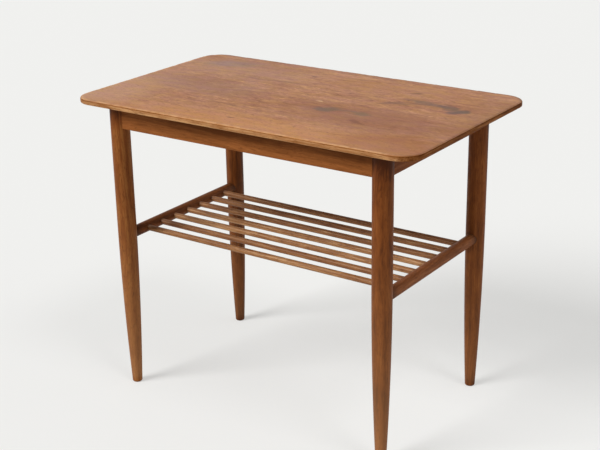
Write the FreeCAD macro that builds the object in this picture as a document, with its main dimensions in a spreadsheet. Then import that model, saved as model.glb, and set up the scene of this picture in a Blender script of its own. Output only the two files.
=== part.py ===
import FreeCAD, Part
import itertools
import math
import os
import re

import Sketcher
from FreeCAD import Placement, Rotation, Vector

# Teak side table: a veneered top with a bevelled underside stands on four turned legs. Rails under the
# top and two round stretchers join the legs, and the stretchers carry a magazine shelf of round slats.
# Millimetres. The origin is on the floor under the middle of the top, +X runs along the length,
# +Y to the back and +Z up.

# Driving dimensions: name, size and what it measures
DRIVING_SIZES = (
    ("table_height", "540", "floor to the top surface"),
    ("top_length", "670", "top, along the length"),
    ("top_width", "400", "top, front to back"),
    ("corner_radius", "40", "rounding of the top's corners in plan"),
    ("top_thickness", "15", "top with both veneers"),
    ("edge_thickness", "8", "upright rim of the top, above the bevel"),
    ("bevel_width", "22", "bevel under the rim, measured inwards"),
    ("veneer_thickness", "0.7", "face veneer and backing veneer"),
    ("lipping_width", "30", "solid strip round the core of the top"),
    ("leg_inset_x", "72.5", "end of the top to a leg's axis"),
    ("leg_inset_y", "41.5", "front or back of the top to a leg's axis"),
    ("leg_diameter", "33.4", "leg above its taper"),
    ("foot_diameter", "17.6", "leg at the floor"),
    ("taper_height", "320", "floor to the start of the taper"),
    ("foot_round", "2.5", "rounding under the foot"),
    ("rail_height", "36", "rail, top to bottom"),
    ("rail_thickness", "20", "rail, face to face"),
    ("dowel_diameter", "8", "dowel between rail and leg"),
    ("dowel_spacing", "18", "upper dowel to lower dowel"),
    ("dowel_depth", "20", "dowel in the rail"),
    ("dowel_wall", "2", "wood between the dowels that meet in a leg"),
    ("stretcher_diameter", "20", "round stretcher"),
    ("stretcher_height", "290", "floor to the stretcher's axis"),
    ("tenon_diameter", "14", "turned end of a stretcher"),
    ("tenon_depth", "20", "turned end in the leg"),
    ("slat_diameter", "10.5", "round slat of the shelf"),
    ("slat_margin", "47.5", "leg axis to the axis of the nearest slat"),
    ("slat_depth", "8", "slat end in the stretcher"),
    ("screw_diameter", "4", "shank of a screw that holds the top"),
    ("screw_head_diameter", "8", "screw head"),
    ("screw_head_height", "3", "screw head"),
    ("screw_slot_width", "1.2", "driver slot across the head"),
    ("screw_slot_depth", "1.4", "driver slot into the head"),
    ("screw_tip", "4", "pointed end of the screw"),
    ("screw_grip", "20", "rail wood between the screw head and the top"),
    ("screw_bite", "10", "screw in the top"),
    ("screw_inset", "112.5", "leg axis to a screw in a long rail"),
    ("head_room", "1", "room round the screw head in its hole"),
    ("joint_clearance", "0.1", "glue room round a dowel, tenon, slat or leg"),
    ("end_gap", "0.5", "glue room at the end of a blind hole"),
)
SLAT_COUNT = 7
EDGE_TOLERANCE = 0.001
NUMBERS = {name: float(text) for name, text, _ in DRIVING_SIZES}

# Places and sizes that several pieces share, as formulas of the driving dimensions
FRAME_TOP = "(table_height - top_thickness)"
RAIL_BOTTOM = f"({FRAME_TOP} - rail_height)"
RAIL_MIDDLE = f"({FRAME_TOP} - rail_height / 2)"
SCREW_SEAT = f"({FRAME_TOP} - screw_grip)"
BLANK_BOTTOM = f"({FRAME_TOP} + veneer_thickness)"
BLANK_THICKNESS = "(top_thickness - 2 * veneer_thickness)"
LEG_RADIUS = "(leg_diameter / 2)"
DOWEL_START = "(dowel_diameter / 2 + dowel_wall)"
HALF_SPACING = {"X": "(top_length / 2 - leg_inset_x)", "Y": "(top_width / 2 - leg_inset_y)"}
STRETCHER_INSIDE = f"({HALF_SPACING['X']} - stretcher_diameter / 2)"

# Which way a cylinder points
POINTING = {
    "+X": Rotation(Vector(0, 1, 0), 90),
    "-X": Rotation(Vector(0, 1, 0), -90),
    "+Y": Rotation(Vector(1, 0, 0), -90),
    "-Y": Rotation(Vector(1, 0, 0), 90),
    "+Z": Rotation(),
}

doc = FreeCAD.newDocument("side_table")
sheet = doc.addObject("Spreadsheet::Sheet", "Sizes")
for row, (name, text, meaning) in enumerate(DRIVING_SIZES, start=1):
    sheet.set(f"A{row}", name)
    sheet.set(f"B{row}", text)
    sheet.setAlias(f"B{row}", name)
    sheet.set(f"C{row}", meaning)
doc.recompute()


def formula(words):
    """Turn the sizes' plain names into references to the sheet's cells."""
    return re.sub(r"[a-z_]+", lambda word: f"{sheet.Name}.{word.group()}", words)


def bind(thing, **sizes):
    """Tie properties of an object to the sheet."""
    for prop, words in sizes.items():
        thing.setExpression(prop, formula(words))


def place(thing, x, y, z, pointing="+Z"):
    """Put an object at a place given by formulas, pointing one way."""
    thing.Placement = Placement(Vector(), POINTING[pointing])
    for axis, words in zip("xyz", (x, y, z)):
        thing.setExpression(f"Placement.Base.{axis}", formula(words))
    return thing


def cylinder(name, radius, length, start, pointing):
    """Round rod or drill from a start point."""
    rod = doc.addObject("Part::Cylinder", name)
    bind(rod, Radius=radius, Height=length)
    return place(rod, *start, pointing)


def box(name, length, width, height, corner):
    """Square block from its lowest corner."""
    block = doc.addObject("Part::Box", name)
    bind(block, Length=length, Width=width, Height=height)
    return place(block, *corner)


def fuse(name, pieces):
    """One object from several."""
    joined = doc.addObject("Part::MultiFuse", name)
    joined.Shapes = pieces
    return joined


def cut(name, base, tools):
    """A base with the shapes of some tools taken away."""
    piece = doc.addObject("Part::Cut", name)
    piece.Base = base
    piece.Tool = fuse(f"{name}_tools", tools) if len(tools) > 1 else tools[0]
    return piece


def group(name, pieces):
    """Separate solids that share one node."""
    together = doc.addObject("Part::Compound", name)
    together.Links = pieces
    return together


def sketch_on(body, name, role):
    """Empty sketch on one of a body's own planes."""
    sketch = body.newObject("Sketcher::SketchObject", name)
    plane = next(feature for feature in body.Origin.OriginFeatures if feature.Role == role)
    sketch.AttachmentSupport = (plane, [""])
    sketch.MapMode = "FlatFace"
    return sketch


def join_corners(sketch, count):
    """Close a ring of edges, end to start."""
    for edge in range(count):
        sketch.addConstraint(Sketcher.Constraint("Coincident", edge, 2, (edge + 1) % count, 1))


def dimension(sketch, name, kind, first, second, words):
    """Distance between two points of a sketch, tied to the sheet."""
    start = sketch.getPoint(*first)
    end = sketch.getPoint(*second)
    now = end.x - start.x if kind == "DistanceX" else end.y - start.y
    index = sketch.addConstraint(Sketcher.Constraint(kind, *first, *second, now))
    sketch.renameConstraint(index, name)
    sketch.setExpression(f"Constraints.{name}", formula(words))


def edge_names(feature, wanted):
    """Names of the edges of a feature that a test picks out."""
    return [f"Edge{number}" for number, edge in enumerate(feature.Shape.Edges, start=1) if wanted(edge)]


def is_upright(edge):
    """True for a straight edge along Z."""
    extent = edge.BoundBox
    return extent.XLength < EDGE_TOLERANCE and extent.YLength < EDGE_TOLERANCE


def lies_at_bottom(edge):
    """True for an edge in a body's own ground plane."""
    return abs(edge.BoundBox.ZMin) < EDGE_TOLERANCE and abs(edge.BoundBox.ZMax) < EDGE_TOLERANCE


def board(name, length, width, corner, thickness, underside):
    """Flat board with rounded corners, as a body."""
    body = doc.addObject("PartDesign::Body", name)
    outline = sketch_on(body, f"{name}_outline", "XY_Plane")
    half_x = NUMBERS["top_length"] / 2
    half_y = NUMBERS["top_width"] / 2
    signs = ((-1, -1), (1, -1), (1, 1), (-1, 1))
    corners = [Vector(side_x * half_x, side_y * half_y, 0) for side_x, side_y in signs]
    for index, start in enumerate(corners):
        outline.addGeometry(Part.LineSegment(start, corners[(index + 1) % 4]))
    join_corners(outline, 4)
    for edge, direction in enumerate(("Horizontal", "Vertical", "Horizontal", "Vertical")):
        outline.addConstraint(Sketcher.Constraint(direction, edge))
    outline.addConstraint(Sketcher.Constraint("Symmetric", 0, 1, 2, 1, -1, 1))
    dimension(outline, "length", "DistanceX", (0, 1), (0, 2), length)
    dimension(outline, "width", "DistanceY", (1, 1), (1, 2), width)
    slab = body.newObject("PartDesign::Pad", f"{name}_slab")
    slab.Profile = outline
    bind(slab, Length=thickness)
    doc.recompute()
    rounding = body.newObject("PartDesign::Fillet", f"{name}_corners")
    rounding.Base = (slab, edge_names(slab, is_upright))
    bind(rounding, Radius=corner)
    place(body, "0", "0", underside)
    doc.recompute()
    return body


def top_blank():
    """Core and lippings as one board. The bevel starts at one edge and follows the rim all round."""
    blank = board("top_blank", "top_length", "top_width", "corner_radius", BLANK_THICKNESS, BLANK_BOTTOM)
    square_volume = blank.Shape.Volume
    rounded = blank.Tip
    bevel = blank.newObject("PartDesign::Chamfer", "top_blank_bevel")
    bevel.Base = (rounded, edge_names(rounded, lies_at_bottom)[:1])
    bevel.ChamferType = "Two distances"
    bevel.FlipDirection = True
    bind(bevel, Size="bevel_width", Size2="top_thickness - edge_thickness - veneer_thickness")
    doc.recompute()
    if blank.Shape.Volume >= square_volume:
        raise RuntimeError("the bevel took nothing off the top")
    return blank


def lipping(name, blank, along, side):
    """Solid strip along one side of the top, mitred at its ends."""
    strip = doc.addObject("Part::Wedge", f"{name}_zone")
    length, width = ("top_length", "top_width") if along == "X" else ("top_width", "top_length")
    bind(strip, Xmin=f"-{length} / 2", Xmax=f"{length} / 2")
    bind(strip, X2min=f"lipping_width - {length} / 2", X2max=f"{length} / 2 - lipping_width")
    bind(strip, Ymin=f"-{width} / 2", Ymax=f"lipping_width - {width} / 2")
    bind(strip, Zmin="0", Zmax=BLANK_THICKNESS, Z2min="0", Z2max=BLANK_THICKNESS)
    place(strip, "0", "0", BLANK_BOTTOM)
    quarter_turns = {("X", -1): 0, ("Y", 1): 1, ("X", 1): 2, ("Y", -1): 3}[along, side]
    strip.Placement.Rotation = Rotation(Vector(0, 0, 1), 90 * quarter_turns)
    piece = doc.addObject("Part::Common", name)
    piece.Base = blank
    piece.Tool = strip
    return piece


def screw_places():
    """Middle of each screw that holds the top, as formulas for X and Y."""
    places = {}
    for side, rail in ((-1, "rail_front"), (1, "rail_back")):
        y = f"{side} * {HALF_SPACING['Y']}"
        places[rail] = [(f"{end} * ({HALF_SPACING['X']} - screw_inset)", y) for end in (-1, 1)]
    for side, rail in ((-1, "rail_left"), (1, "rail_right")):
        places[rail] = [(f"{side} * {HALF_SPACING['X']}", "0")]
    return places


def pilot_holes(name):
    """Drills for the screws' upper ends, in the underside of the top."""
    drills = []
    for rail, places in screw_places().items():
        for number, (x, y) in enumerate(places, start=1):
            start = (x, y, SCREW_SEAT)
            depth = "screw_grip + screw_bite + end_gap"
            radius = "screw_diameter / 2 + joint_clearance"
            drills.append(cylinder(f"{name}_pilot_{rail}_{number}", radius, depth, start, "+Z"))
    return drills


def top_pieces():
    """Core, four lippings and the two veneers."""
    blank = top_blank()
    inner = ("top_length - 2 * lipping_width", "top_width - 2 * lipping_width", BLANK_THICKNESS)
    corner = ("lipping_width - top_length / 2", "lipping_width - top_width / 2", BLANK_BOTTOM)
    core = doc.addObject("Part::Common", "top_core_board")
    core.Base = blank
    core.Tool = box("top_core_zone", *inner, corner)
    face_underside = "table_height - veneer_thickness"
    flat = ("top_length - 2 * bevel_width", "top_width - 2 * bevel_width", "corner_radius - bevel_width")
    backing = board("backing_sheet", *flat, "veneer_thickness", FRAME_TOP)
    return [
        cut("top_core", core, pilot_holes("top_core")),
        board("face_veneer", "top_length", "top_width", "corner_radius", "veneer_thickness", face_underside),
        cut("backing_veneer", backing, pilot_holes("backing_veneer")),
        lipping("lipping_front", blank, "X", -1),
        lipping("lipping_back", blank, "X", 1),
        lipping("lipping_left", blank, "Y", -1),
        lipping("lipping_right", blank, "Y", 1),
    ]


def dowel_heights():
    """Heights of the two dowels at a rail's end."""
    return [f"{RAIL_MIDDLE} - dowel_spacing / 2", f"{RAIL_MIDDLE} + dowel_spacing / 2"]


def inwards(axis, side):
    """Direction from a leg towards the middle of the table."""
    return f"-{axis}" if side > 0 else f"+{axis}"


def turned_leg(name):
    """Leg as it comes off the lathe: straight above, then one long curve down to the foot."""
    body = doc.addObject("PartDesign::Body", name)
    profile = sketch_on(body, f"{name}_profile", "XZ_Plane")
    radius = NUMBERS["leg_diameter"] / 2
    foot = NUMBERS["foot_diameter"] / 2
    knee = NUMBERS["taper_height"]
    top = NUMBERS["table_height"] - NUMBERS["top_thickness"]
    sweep = (knee**2 + (radius - foot)**2) / (2 * (radius - foot))
    curve = Part.Circle(Vector(radius - sweep, knee, 0), Vector(0, 0, 1), sweep)
    profile.addGeometry(Part.LineSegment(Vector(0, 0, 0), Vector(foot, 0, 0)))
    profile.addGeometry(Part.ArcOfCircle(curve, -math.asin(knee / sweep), 0))
    profile.addGeometry(Part.LineSegment(Vector(radius, knee, 0), Vector(radius, top, 0)))
    profile.addGeometry(Part.LineSegment(Vector(radius, top, 0), Vector(0, top, 0)))
    profile.addGeometry(Part.LineSegment(Vector(0, top, 0), Vector(0, 0, 0)))
    profile.addConstraint(Sketcher.Constraint("Coincident", 0, 1, -1, 1))
    profile.addConstraint(Sketcher.Constraint("Coincident", 0, 2, 1, 1))
    profile.addConstraint(Sketcher.Constraint("Tangent", 1, 2, 2, 1))
    for edge in (2, 3):
        profile.addConstraint(Sketcher.Constraint("Coincident", edge, 2, edge + 1, 1))
    profile.addConstraint(Sketcher.Constraint("Coincident", 4, 2, 0, 1))
    for edge, direction in ((0, "Horizontal"), (2, "Vertical"), (3, "Horizontal"), (4, "Vertical")):
        profile.addConstraint(Sketcher.Constraint(direction, edge))
    dimension(profile, "foot_radius", "DistanceX", (0, 1), (0, 2), "foot_diameter / 2")
    dimension(profile, "leg_radius", "DistanceX", (-1, 1), (2, 2), LEG_RADIUS)
    dimension(profile, "knee", "DistanceY", (-1, 1), (2, 1), "taper_height")
    dimension(profile, "top", "DistanceY", (-1, 1), (2, 2), FRAME_TOP)
    turning = body.newObject("PartDesign::Revolution", f"{name}_turning")
    turning.Profile = profile
    turning.ReferenceAxis = (profile, ["V_Axis"])
    turning.Angle = 360
    doc.recompute()
    rounding = body.newObject("PartDesign::Fillet", f"{name}_foot")
    rounding.Base = (turning, edge_names(turning, lies_at_bottom))
    bind(rounding, Radius="foot_round")
    return body


def leg(name, side_x, side_y):
    """Turned leg, drilled for the dowels of its two rails and for its stretcher."""
    x = f"{side_x} * {HALF_SPACING['X']}"
    y = f"{side_y} * {HALF_SPACING['Y']}"
    turned = place(turned_leg(f"turned_{name}"), x, y, "0")
    hole_start = f"({DOWEL_START} - end_gap)"
    hole_radius = "dowel_diameter / 2 + joint_clearance"
    along_x = inwards("X", side_x)
    along_y = inwards("Y", side_y)
    drills = []
    for level, height in zip(("lower", "upper"), dowel_heights()):
        start_x = (f"{x} - {side_x} * {hole_start}", y, height)
        start_y = (x, f"{y} - {side_y} * {hole_start}", height)
        drills.append(cylinder(f"{name}_{level}_hole_x", hole_radius, LEG_RADIUS, start_x, along_x))
        drills.append(cylinder(f"{name}_{level}_hole_y", hole_radius, LEG_RADIUS, start_y, along_y))
    socket_end = f"({LEG_RADIUS} - tenon_depth - end_gap)"
    socket_start = (x, f"{y} - {side_y} * {socket_end}", "stretcher_height")
    socket_radius = "tenon_diameter / 2 + joint_clearance"
    drills.append(cylinder(f"{name}_socket", socket_radius, "leg_diameter", socket_start, along_y))
    return cut(name, turned, drills)


def leg_copes(name, places, bottom, height):
    """Cylinders the size of the legs, to hollow the ends of what meets them."""
    radius = f"{LEG_RADIUS} + joint_clearance"
    return [
        cylinder(f"{name}_cope_{number}", radius, height, (x, y, bottom), "+Z")
        for number, (x, y) in enumerate(places, start=1)
    ]


def rail(name, along, side):
    """Rail between two legs: ends hollowed to the legs, drilled for dowels and for the top's screws."""
    across = "Y" if along == "X" else "X"
    middle = f"{side} * {HALF_SPACING[across]}"
    length = f"2 * {HALF_SPACING[along]}"
    near_face = f"{middle} - rail_thickness / 2"

    def spot(distance, offset):
        return (distance, offset) if along == "X" else (offset, distance)

    sides = spot(length, "rail_thickness")
    corner = spot(f"-{HALF_SPACING[along]}", near_face)
    plank = box(f"{name}_plank", *sides, "rail_height", (*corner, RAIL_BOTTOM))
    leg_places = [spot(f"{end} * {HALF_SPACING[along]}", middle) for end in (-1, 1)]
    tools = leg_copes(name, leg_places, f"{RAIL_BOTTOM} - leg_diameter", "rail_height + 2 * leg_diameter")
    hole_radius = "dowel_diameter / 2 + joint_clearance"
    hole_length = f"{LEG_RADIUS} + dowel_depth + end_gap"
    for end_name, end, leg_place in zip(("start", "end"), (-1, 1), leg_places):
        for level, height in zip(("lower", "upper"), dowel_heights()):
            hole = f"{name}_{end_name}_{level}_hole"
            tools.append(cylinder(hole, hole_radius, hole_length, (*leg_place, height), inwards(along, end)))
    for number, (x, y) in enumerate(screw_places()[name], start=1):
        shank_start = (x, y, SCREW_SEAT)
        head_start = (x, y, f"{SCREW_SEAT} - rail_height")
        shank_radius = "screw_diameter / 2 + joint_clearance"
        head_radius = "screw_head_diameter / 2 + head_room"
        tools.append(cylinder(f"{name}_shank_hole_{number}", shank_radius, "rail_height", shank_start, "+Z"))
        tools.append(cylinder(f"{name}_head_hole_{number}", head_radius, "rail_height", head_start, "+Z"))
    return cut(name, plank, tools)


def rail_dowels():
    """Two dowels at each end of each rail, so four in each leg."""
    radius = "dowel_diameter / 2"
    length = f"{LEG_RADIUS} + dowel_depth - {DOWEL_START}"
    dowels = []
    for side_x, side_y in itertools.product((-1, 1), (-1, 1)):
        x = f"{side_x} * {HALF_SPACING['X']}"
        y = f"{side_y} * {HALF_SPACING['Y']}"
        start_x = f"{x} - {side_x} * {DOWEL_START}"
        start_y = f"{y} - {side_y} * {DOWEL_START}"
        for height in dowel_heights():
            for start, pointing in (
                ((start_x, y, height), inwards("X", side_x)),
                ((x, start_y, height), inwards("Y", side_y)),
            ):
                dowels.append(cylinder(f"dowel_{len(dowels) + 1}", radius, length, start, pointing))
    return group("rail_dowels", dowels)


def top_screws():
    """Slotted screws up through the rails into the top."""
    screws = []
    for rail_name, places in screw_places().items():
        for number, (x, y) in enumerate(places, start=1):
            name = f"screw_{rail_name}_{number}"
            underside = f"{SCREW_SEAT} - screw_head_height"
            tip_start = f"{FRAME_TOP} + screw_bite - screw_tip"
            head_radius = "screw_head_diameter / 2"
            head = cylinder(f"{name}_head", head_radius, "screw_head_height", (x, y, underside), "+Z")
            shank_length = "screw_grip + screw_bite - screw_tip"
            shank = cylinder(f"{name}_shank", "screw_diameter / 2", shank_length, (x, y, SCREW_SEAT), "+Z")
            tip = place(doc.addObject("Part::Cone", f"{name}_tip"), x, y, tip_start)
            bind(tip, Radius1="screw_diameter / 2", Radius2="0", Height="screw_tip")
            slot_x = f"{x} - screw_head_diameter"
            slot_y = f"{y} - screw_slot_width / 2"
            slot_corner = (slot_x, slot_y, f"{underside} - screw_slot_depth")
            slot_size = ("2 * screw_head_diameter", "screw_slot_width", "2 * screw_slot_depth")
            slot = box(f"{name}_slot", *slot_size, slot_corner)
            screws.append(cut(name, fuse(f"{name}_blank", [head, shank, tip]), [slot]))
    return group("top_screws", screws)


def slat_places():
    """Distance of each slat's axis from the middle of the table, front to back."""
    outermost = f"({HALF_SPACING['Y']} - slat_margin)"
    shares = [2 * number / (SLAT_COUNT - 1) - 1 for number in range(SLAT_COUNT)]
    return [f"{share} * {outermost}" for share in shares]


def stretcher(name, side):
    """Round stretcher between a front leg and a back leg, with turned ends and sockets for the slats."""
    x = f"{side} * {HALF_SPACING['X']}"
    front_end = (x, f"-{HALF_SPACING['Y']}", "stretcher_height")
    rod = cylinder(f"{name}_rod", "stretcher_diameter / 2", f"2 * {HALF_SPACING['Y']}", front_end, "+Y")
    leg_places = [(x, f"{end} * {HALF_SPACING['Y']}") for end in (-1, 1)]
    tools = leg_copes(name, leg_places, "stretcher_height - leg_diameter", "2 * leg_diameter")
    socket_radius = "slat_diameter / 2 + joint_clearance"
    socket_start = f"{side} * ({STRETCHER_INSIDE} + slat_depth + end_gap)"
    for number, y in enumerate(slat_places(), start=1):
        start = (socket_start, y, "stretcher_height")
        socket = f"{name}_socket_{number}"
        tools.append(cylinder(socket, socket_radius, "stretcher_diameter", start, inwards("X", side)))
    body = cut(f"{name}_body", rod, tools)
    tenons = []
    for end, position in ((-1, "front"), (1, "back")):
        tenon_end = f"{end} * ({HALF_SPACING['Y']} - {LEG_RADIUS} + tenon_depth)"
        start = (x, tenon_end, "stretcher_height")
        radius = "tenon_diameter / 2"
        length = "tenon_depth + tenon_diameter"
        tenons.append(cylinder(f"{name}_tenon_{position}", radius, length, start, inwards("Y", end)))
    return fuse(name, [body, *tenons])


def slats():
    """Round slats of the shelf, from the front one to the back one."""
    start = f"-({STRETCHER_INSIDE} + slat_depth)"
    length = f"2 * ({STRETCHER_INSIDE} + slat_depth)"
    return [
        cylinder(f"slat_{number}", "slat_diameter / 2", length, (start, y, "stretcher_height"), "+X")
        for number, y in enumerate(slat_places(), start=1)
    ]


pieces = [
    *top_pieces(),
    leg("leg_front_left", -1, -1),
    leg("leg_front_right", 1, -1),
    leg("leg_back_left", -1, 1),
    leg("leg_back_right", 1, 1),
    rail("rail_front", "X", -1),
    rail("rail_back", "X", 1),
    rail("rail_left", "Y", -1),
    rail("rail_right", "Y", 1),
    rail_dowels(),
    top_screws(),
    stretcher("stretcher_left", -1),
    stretcher("stretcher_right", 1),
    *slats(),
]
doc.recompute()

for thing in doc.Objects:
    if "Invalid" in thing.State or "Error" in thing.State:
        raise RuntimeError(f"{thing.Label} failed: {thing.State}")
os.makedirs("parts", exist_ok=True)
for piece in pieces:
    shape = piece.Shape
    if shape.isNull() or not shape.isValid():
        raise RuntimeError(f"{piece.Label} has no valid shape")
    shape.exportStep(f"parts/{piece.Label}.step")
    print(f"{piece.Label}: {len(shape.Solids)} solid(s), {shape.Volume / 1000:.2f} cm3")
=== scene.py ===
import math

import bpy
from mathutils import Matrix, Vector, noise


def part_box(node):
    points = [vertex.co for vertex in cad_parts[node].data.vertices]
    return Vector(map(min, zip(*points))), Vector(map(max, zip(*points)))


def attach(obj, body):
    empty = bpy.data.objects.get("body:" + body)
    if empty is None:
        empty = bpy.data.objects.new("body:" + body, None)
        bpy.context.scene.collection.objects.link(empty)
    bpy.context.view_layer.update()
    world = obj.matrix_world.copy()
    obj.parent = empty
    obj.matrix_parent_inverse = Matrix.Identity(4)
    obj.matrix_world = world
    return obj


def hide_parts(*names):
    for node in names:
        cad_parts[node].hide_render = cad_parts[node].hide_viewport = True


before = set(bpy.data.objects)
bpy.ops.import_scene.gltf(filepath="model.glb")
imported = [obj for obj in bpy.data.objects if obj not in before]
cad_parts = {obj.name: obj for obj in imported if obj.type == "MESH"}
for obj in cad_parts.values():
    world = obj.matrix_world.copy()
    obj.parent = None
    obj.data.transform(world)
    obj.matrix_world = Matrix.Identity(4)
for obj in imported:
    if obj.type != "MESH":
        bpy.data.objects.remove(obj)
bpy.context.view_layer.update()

MM = 0.001
BODY = "root"
AXES = "XYZ"
MATHS = "ShaderNodeMath"

# Sizes that the solids' boxes give, in metres
TOP_LOW, TOP_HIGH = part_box("face_veneer")
TOP_LENGTH, TOP_WIDTH, VENEER = TOP_HIGH - TOP_LOW
LIPPING_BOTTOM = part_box("lipping_front")[0].z
LEG_LOW, LEG_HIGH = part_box("leg_front_right")
LEG_RADIUS = (LEG_HIGH.x - LEG_LOW.x) / 2
LEG_X = (LEG_LOW.x + LEG_HIGH.x) / 2
LEG_Y = -(LEG_LOW.y + LEG_HIGH.y) / 2
LEG_TOP = LEG_HIGH.z
RAIL_LOW, RAIL_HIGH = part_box("rail_front")
RAIL_THICKNESS = RAIL_HIGH.y - RAIL_LOW.y
STRETCHER_LOW, STRETCHER_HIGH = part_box("stretcher_right")
STRETCHER_RADIUS = (STRETCHER_HIGH.z - STRETCHER_LOW.z) / 2
SHELF_HEIGHT = (STRETCHER_LOW.z + STRETCHER_HIGH.z) / 2
SLAT_NODES = [f"slat_{number}" for number in range(1, 8)]
SLAT_LOW, SLAT_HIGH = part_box(SLAT_NODES[0])
SLAT_RADIUS = (SLAT_HIGH.z - SLAT_LOW.z) / 2
SLAT_LENGTH = SLAT_HIGH.x - SLAT_LOW.x
FIRST_SLAT = (SLAT_LOW.y + SLAT_HIGH.y) / 2
SLAT_PITCH = -2 * FIRST_SLAT / (len(SLAT_NODES) - 1)

# Sizes inside the solids, in metres
CORNER_RADIUS = 40 * MM
RIM_HEIGHT = 8 * MM
BEVEL_WIDTH = 22 * MM
LIPPING_WIDTH = 30 * MM
FOOT_RADIUS = 8.8 * MM
FOOT_ROUND = 2.5 * MM
KNEE_HEIGHT = 320 * MM
LEG_THINNING = LEG_RADIUS - FOOT_RADIUS
LEG_CURVE_RADIUS = (LEG_THINNING**2 + KNEE_HEIGHT**2) / (2 * LEG_THINNING)
COPE_RADIUS = LEG_RADIUS + 0.1 * MM
SCREW_HOLE_RADIUS = 5 * MM
SCREW_HOLE_DEPTH = 16 * MM
SCREW_X = 150 * MM
STRETCHER_IN_LEG = 8 * MM

# Softened edges, which the solids leave square
TOP_ARRIS = 2.4 * MM
RIM_ARRIS = 1.2 * MM
RAIL_ARRIS = 1.4 * MM
# Angle up the top's rounded edge at which the face veneer meets the lipping
VENEER_ANGLE = math.asin(1 - VENEER / TOP_ARRIS)

# How finely the shapes are drawn
RIM_STEP = 3 * MM
CORNER_STEPS = 10
RAIL_COLUMNS = 16
HOLE_SIDES = 32
# Edges bent by more than this many degrees show as edges
SHARP = 35
SHARP_ON_TURNED = 50
SHARP_ON_FACE = 60


def linear(colour):
    """Turn an sRGB hex colour into the linear RGBA that nodes take."""
    parts = [int(colour[place:place + 2], 16) / 255 for place in (1, 3, 5)]
    return (*(part / 12.92 if part <= 0.04045 else ((part + 0.055) / 1.055) ** 2.4 for part in parts), 1)


def add(tree, kind, inputs=(), stops=(), **settings):
    """Add a node with its settings, link or set its inputs, and set a ramp's stops."""
    node = tree.nodes.new(kind)
    for key, value in settings.items():
        setattr(node, key, value)
    for key, value in dict(inputs).items():
        if isinstance(value, bpy.types.NodeSocket):
            tree.links.new(value, node.inputs[key])
        else:
            node.inputs[key].default_value = value
    for number, (position, colour) in enumerate(stops):
        while len(node.color_ramp.elements) <= number:
            node.color_ramp.elements.new(1)
        node.color_ramp.elements[number].position = position
        node.color_ramp.elements[number].color = linear(colour)
    return node


def new_material(name):
    """A new material and its tree, which is empty."""
    material = bpy.data.materials.new(name)
    material.use_nodes = True
    material.node_tree.nodes.clear()
    return material, material.node_tree


def grain_size(along, width, length):
    """Mapping scale for a pattern so many millimetres wide, and so long along the grain."""
    return tuple(1 / ((length if axis == along else width) * MM) for axis in AXES)


def patches(tree, place, along, width, length, detail, swirl=0, roughness=0.5):
    """Cloudy patches so many millimetres wide, and so long along the grain."""
    spot = add(tree, "ShaderNodeMapping", {"Vector": place, "Scale": grain_size(along, width, length)})
    return add(tree, "ShaderNodeTexNoise", {
        "Vector": spot.outputs[0], "Scale": 1, "Detail": detail, "Roughness": roughness, "Distortion": swirl,
    }).outputs


def shifted(tree, place, pushes, reach):
    """Places that the colour of a cloudy pattern pushes about, so far along each axis."""
    middle = (0.5, 0.5, 0.5)
    centred = add(tree, "ShaderNodeVectorMath", {0: pushes, 1: middle}, operation="SUBTRACT").outputs[0]
    moves = {0: centred, 1: reach, 2: place}
    return add(tree, "ShaderNodeVectorMath", moves, operation="MULTIPLY_ADD").outputs[0]


def weighted(tree, patterns, weights):
    """Sum of named patterns, each times its weight."""
    total = 0.0
    for name, weight in weights.items():
        terms = {0: patterns[name], 1: weight, 2: total}
        total = add(tree, MATHS, terms, operation="MULTIPLY_ADD").outputs[0]
    return total


def layered(tree, colour, layers):
    """Lay colours over one another, each where its mask is."""
    for mask, over in layers:
        paints = {"Factor": mask, "A": colour, "B": linear(over)}
        colour = add(tree, "ShaderNodeMix", paints, data_type="RGBA").outputs["Result"]
    return colour


# Width, length along the grain, detail and swirl of each pattern, in millimetres. Teak's own fibres and
# pores are 0.1 to 0.3 mm wide, too fine to show from where the camera stands, so they are drawn about
# 2 mm wide.
SOLID_FIGURE = {
    "sway": (45, 260, 2, 0),
    "streaks": (4, 90, 4, 0),
    "fibres": (2, 24, 2, 0),
    "pores": (1.7, 9, 1, 0),
    "blotches": (15, 38, 3, 0.3),
    "clouds": (48, 100, 2, 0),
}
VENEER_FIGURE = {
    "sway": (40, 110, 3, 0),
    "streaks": (5, 44, 4, 0.5),
    "fibres": (2.2, 14, 2, 0.3),
    "pores": (2, 7, 1, 0),
    "blotches": (11, 26, 4, 1.2),
    "clouds": (48, 100, 2, 0.4),
}
FIGURE_ROUGHNESS = 0.6
# How far the grain sways from side to side, and the veneer's ring width, in millimetres
SOLID_SWAY = 22
VENEER_SWAY = 30
VENEER_RINGS = 11
# Growth rings run this many times as far along the grain as they are wide
RING_STRETCH = 40
# Scale at which a wave texture has one band to a unit of length
ONE_BAND = 0.314

# What each pattern counts for in the wood's tone, and in its relief
SOLID_TONE = {"rings": 0.06, "streaks": 0.32, "fibres": 0.28, "blotches": 0.16, "clouds": 0.24}
VENEER_TONE = {"rings": 0.04, "streaks": 0.2, "fibres": 0.34, "blotches": 0.3, "clouds": 0.16}
RELIEF = {"fibres": 0.5, "streaks": 0.3, "open pores": -0.8}
# Middle of those tones, and where a wood's four colours stand between dark and pale
SOLID_MIDDLE = 0.52
VENEER_MIDDLE = 0.53
VENEER_SPREAD = 0.14
COLOUR_STOPS = (0.0, 0.35, 0.65, 1.0)
# Strength and depth of the relief
SOLID_RELIEF = (0.5, 0.25 * MM)
VENEER_RELIEF = (0.4, 0.2 * MM)
# Most of a cloudy pattern lies between these values, and roughness swings over them
PATTERN_LOW, PATTERN_HIGH = 0.3, 0.7
ROUGHNESS_SWING = 0.06
WOOD_IOR = 1.5


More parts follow.
